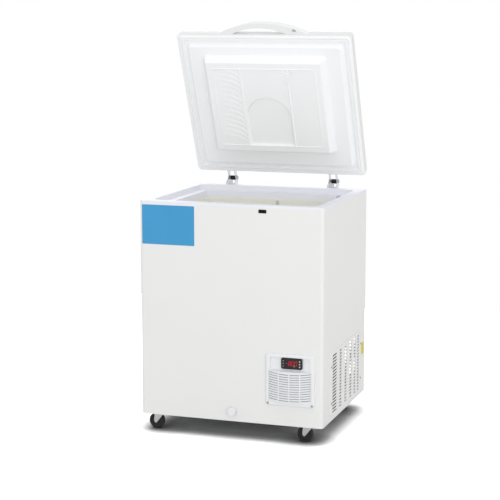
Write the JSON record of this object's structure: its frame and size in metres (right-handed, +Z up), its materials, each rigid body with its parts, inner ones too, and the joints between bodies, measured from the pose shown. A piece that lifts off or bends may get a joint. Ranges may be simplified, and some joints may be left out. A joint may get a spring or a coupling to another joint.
{
  "type": "chest ultra low temperature freezer",
  "caption": "White chest freezer on swivel casters, with its hinged lid held open and a low temperature controller and air grille.",
  "frame": {"origin": "on the floor, under the centre of the cabinet's footprint", "axes": "-Y is the front with the controller, +X is the right side with the louvred cover, +Z is up"},
  "size_m": [0.7254, 0.687, 1.5518],
  "materials": {
    "enamel": "semi-gloss white enamel",
    "zinc_sheet": "dull zinc-coated sheet",
    "tub_cream": "satin cream coating",
    "foam": "matt foam, not seen from outside",
    "collar_plastic": "smooth white plastic",
    "grey_plastic": "matt grey plastic",
    "copper": "dull copper",
    "dark_metal": "dark oiled steel",
    "catch_metal": "plated steel",
    "bezel_plastic": "smooth light grey-white plastic",
    "louvre_plastic": "satin light grey plastic",
    "black_plastic": "satin black plastic",
    "display_pane": "dark tinted pane",
    "screw_steel": "plated steel",
    "chrome_plate": "bright plated steel",
    "lid_lining": "smooth white plastic",
    "seal_rubber": "soft light grey seal",
    "handle_plastic": "smooth white plastic",
    "lock_metal": "dark plated metal",
    "cap_plastic": "satin light grey plastic",
    "zinc_steel": "bright zinc-plated steel",
    "compressor_black": "satin black paint",
    "black_rubber": "black rubber",
    "fin_aluminium": "plain aluminium",
    "fan_plastic": "dark grey plastic",
    "key_grey": "grey rubberised keys",
    "wheel_tyre": "black tread"
  },
  "bodies": {
    "cabinet": {"back_panel": "zinc_sheet", "base_pan": "zinc_sheet", "bay_partition": "zinc_sheet", "cabinet_insulation": "foam", "cabinet_screws": "screw_steel", "caster_bolts": "screw_steel", "caster_plates": "zinc_steel", "collar_clip": "grey_plastic", "compressor": "compressor_black", "compressor_mounts": "black_rubber", "condenser": "fin_aluminium", "control_bezel": "bezel_plastic", "controller_body": "black_plastic", "cord_gland": "black_plastic", "display_window": "display_pane", "drain_tube": "grey_plastic", "evaporator_coil": "copper", "fan_motor": "compressor_black", "fan_shroud": "zinc_sheet", "filter_drier": "copper", "hinge_base_left": "chrome_plate", "hinge_base_right": "chrome_plate", "hinge_pins": "screw_steel", "hinge_springs": "dark_metal", "inner_tub": "tub_cream", "latch_catch": "catch_metal", "outer_shell": "enamel", "refrigerant_pipes": "copper", "rim_collar": "collar_plastic", "side_grille": "enamel", "temperature_probe": "dark_metal", "vent_louvre": "louvre_plastic"},
    "lid": {"hinge_arm_left": "chrome_plate", "hinge_arm_right": "chrome_plate", "lid_outer_shell": "enamel", "lid_inner_liner": "lid_lining", "lid_insulation": "foam", "lid_gasket": "seal_rubber", "lid_handle": "handle_plastic"},
    "lock": {"lock_barrel": "lock_metal"},
    "fan": {"condenser_fan": "fan_plastic"},
    "drain_closure": {"drain_cap": "cap_plastic"},
    "key_1": {"controller_key_1": "key_grey"},
    "key_2": {"controller_key_2": "key_grey"},
    "key_3": {"controller_key_3": "key_grey"},
    "key_4": {"controller_key_4": "key_grey"},
    "key_5": {"controller_key_5": "key_grey"},
    "key_6": {"controller_key_6": "key_grey"},
    "fork_front_left": {"caster_fork_front_left": "zinc_steel"},
    "wheel_front_left": {"caster_wheel_front_left": "wheel_tyre"},
    "fork_front_right": {"caster_fork_front_right": "zinc_steel"},
    "wheel_front_right": {"caster_wheel_front_right": "wheel_tyre"},
    "fork_rear_left": {"caster_fork_rear_left": "zinc_steel"},
    "wheel_rear_left": {"caster_wheel_rear_left": "wheel_tyre"},
    "fork_rear_right": {"caster_fork_rear_right": "zinc_steel"},
    "wheel_rear_right": {"caster_wheel_rear_right": "wheel_tyre"}
  },
  "joints": [
    {"name": "lid_hinge", "type": "hinge", "parent": "cabinet", "child": "lid", "pos_m": [0, 0.3455, 0.911], "axis": [-1, 0, 0], "range_deg": [-66.5, 18.5]},
    {"name": "lock_turn", "type": "hinge", "parent": "lid", "child": "lock", "pos_m": [0.126, 0.08075, 1.51994], "axis": [0, 0.9171, 0.3987], "range_deg": [0, 90]},
    {"name": "fan_spin", "type": "hinge", "parent": "cabinet", "child": "fan", "pos_m": [0.281, -0.062, 0.209], "axis": [1, 0, 0], "continuous": true},
    {"name": "drain_cap_turn", "type": "hinge", "parent": "cabinet", "child": "drain_closure", "pos_m": [0.008, -0.316, 0.106], "axis": [0, -1, 0], "range_deg": [0, 270]},
    {"name": "key_1_press", "type": "slide", "parent": "cabinet", "child": "key_1", "axis": [0, 1, 0], "range_m": [0, 0.0006], "stiffness_N_per_m": 1500, "springref_m": -0.0002},
    {"name": "key_2_press", "type": "slide", "parent": "cabinet", "child": "key_2", "axis": [0, 1, 0], "range_m": [0, 0.0006], "stiffness_N_per_m": 1500, "springref_m": -0.0002},
    {"name": "key_3_press", "type": "slide", "parent": "cabinet", "child": "key_3", "axis": [0, 1, 0], "range_m": [0, 0.0006], "stiffness_N_per_m": 1500, "springref_m": -0.0002},
    {"name": "key_4_press", "type": "slide", "parent": "cabinet", "child": "key_4", "axis": [0, 1, 0], "range_m": [0, 0.0006], "stiffness_N_per_m": 1500, "springref_m": -0.0002},
    {"name": "key_5_press", "type": "slide", "parent": "cabinet", "child": "key_5", "axis": [0, 1, 0], "range_m": [0, 0.0006], "stiffness_N_per_m": 1500, "springref_m": -0.0002},
    {"name": "key_6_press", "type": "slide", "parent": "cabinet", "child": "key_6", "axis": [0, 1, 0], "range_m": [0, 0.0006], "stiffness_N_per_m": 1500, "springref_m": -0.0002},
    {"name": "swivel_front_left", "type": "hinge", "parent": "cabinet", "child": "fork_front_left", "pos_m": [-0.298, -0.2515, 0.075], "axis": [0, 0, 1], "continuous": true},
    {"name": "wheel_front_left_roll", "type": "hinge", "parent": "fork_front_left", "child": "wheel_front_left", "pos_m": [-0.318, -0.2515, 0.03], "axis": [0, 1, 0], "continuous": true},
    {"name": "swivel_front_right", "type": "hinge", "parent": "cabinet", "child": "fork_front_right", "pos_m": [0.298, -0.2515, 0.075], "axis": [0, 0, 1], "continuous": true},
    {"name": "wheel_front_right_roll", "type": "hinge", "parent": "fork_front_right", "child": "wheel_front_right", "pos_m": [0.278, -0.2515, 0.03], "axis": [0, 1, 0], "continuous": true},
    {"name": "swivel_rear_left", "type": "hinge", "parent": "cabinet", "child": "fork_rear_left", "pos_m": [-0.298, 0.2515, 0.075], "axis": [0, 0, 1], "continuous": true},
    {"name": "wheel_rear_left_roll", "type": "hinge", "parent": "fork_rear_left", "child": "wheel_rear_left", "pos_m": [-0.318, 0.2515, 0.03], "axis": [0, 1, 0], "continuous": true},
    {"name": "swivel_rear_right", "type": "hinge", "parent": "cabinet", "child": "fork_rear_right", "pos_m": [0.298, 0.2515, 0.075], "axis": [0, 0, 1], "continuous": true},
    {"name": "wheel_rear_right_roll", "type": "hinge", "parent": "fork_rear_right", "child": "wheel_rear_right", "pos_m": [0.278, 0.2515, 0.03], "axis": [0, 1, 0], "continuous": true}
  ]
}
